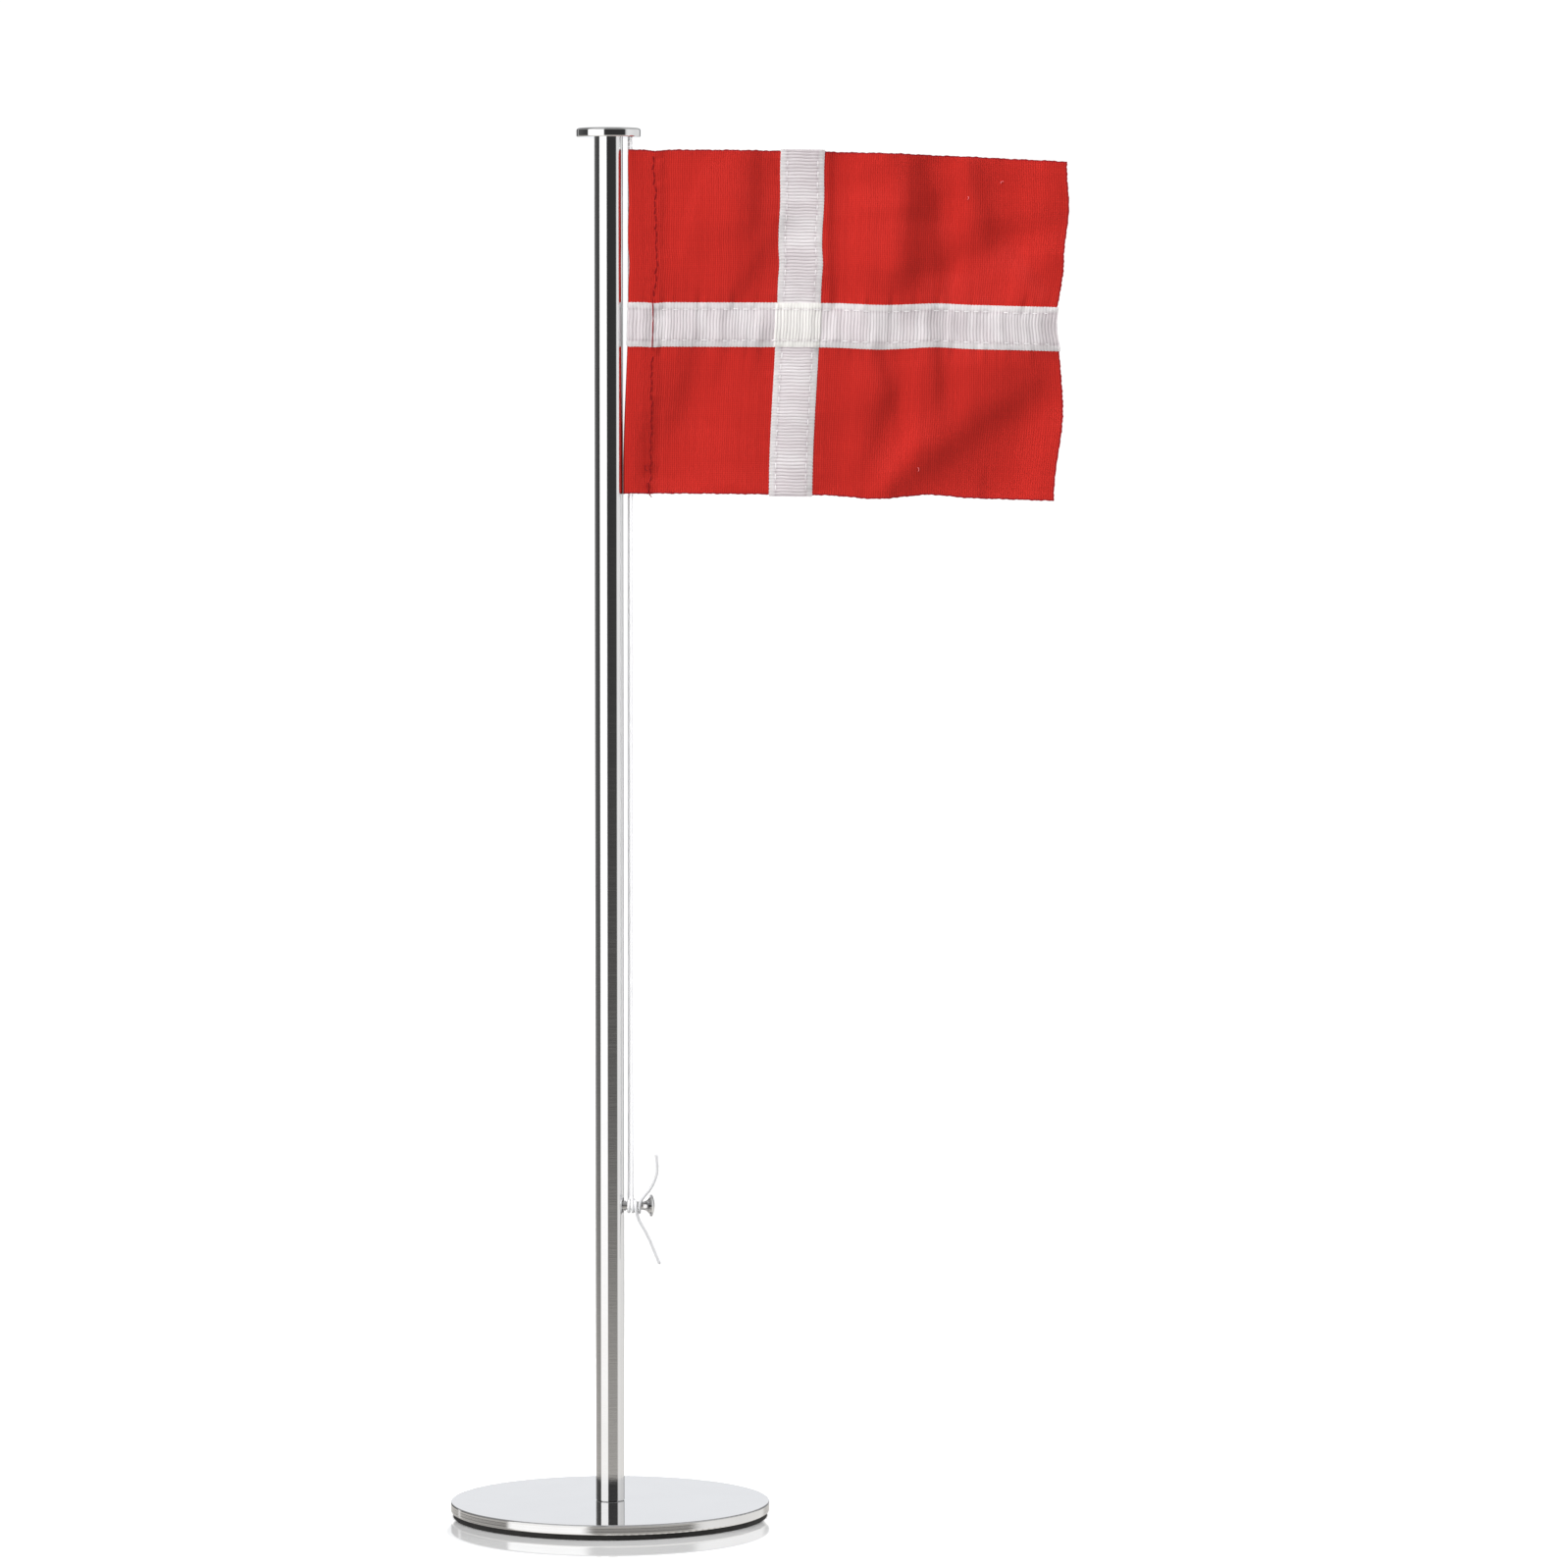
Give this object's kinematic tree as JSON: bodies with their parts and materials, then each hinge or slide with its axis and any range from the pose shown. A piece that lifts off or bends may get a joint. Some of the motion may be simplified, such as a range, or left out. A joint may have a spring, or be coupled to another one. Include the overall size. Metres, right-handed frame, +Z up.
{
  "type": "table flagpole",
  "caption": "Polished table flagpole on a round base, with a disc cap, a looped halyard wound on a stud, and a hemmed cloth flag that swings and can be lowered.",
  "frame": {"origin": "centre of the pad's underside, where the stand meets the table", "axes": "+Z up the pole, +X along the flag towards its fly end, -Y out of the flag's front"},
  "size_m": [0.1737, 0.09, 0.3899],
  "materials": {
    "polished_steel": "mirror-polished stainless steel with fine drawing lines",
    "turned_steel": "as turned",
    "pad": "matt black foam rubber",
    "halyard": "white braided cord",
    "red_cloth": "plain woven, slightly ribbed",
    "white_ribbon": "grosgrain with smooth selvedges",
    "red_thread": "spun thread",
    "white_thread": "spun thread"
  },
  "bodies": {
    "stand": {"base_pad": "pad", "base_plate": "polished_steel", "base_screw": "turned_steel", "foot_plug": "turned_steel", "pole_tube": "polished_steel", "head_plug": "turned_steel", "top_cap": "polished_steel", "cleat_anchor": "turned_steel", "cleat_stud": "polished_steel", "halyard_return": "halyard", "halyard_turns": "halyard", "halyard_upper_tail": "halyard", "halyard_lower_tail": "halyard"},
    "flag_strand": {"halyard_flag_strand": "halyard"},
    "flag": {"flag_cloth": "red_cloth", "ribbon_vertical_front": "white_ribbon", "ribbon_vertical_back": "white_ribbon", "ribbon_horizontal_front": "white_ribbon", "ribbon_horizontal_back": "white_ribbon", "hem_thread": "red_thread", "ribbon_thread_vertical": "white_thread", "ribbon_thread_horizontal": "white_thread"}
  },
  "joints": [
    {"name": "flag_swing", "type": "hinge", "parent": "stand", "child": "flag_strand", "pos_m": [0.0063, -0.0012, 0.3], "axis": [0, 0, 1], "range_deg": [-120, 55]},
    {"name": "flag_hoist", "type": "slide", "parent": "flag_strand", "child": "flag", "axis": [0, 0, 1], "range_m": [-0.18, 0.003]}
  ]
}
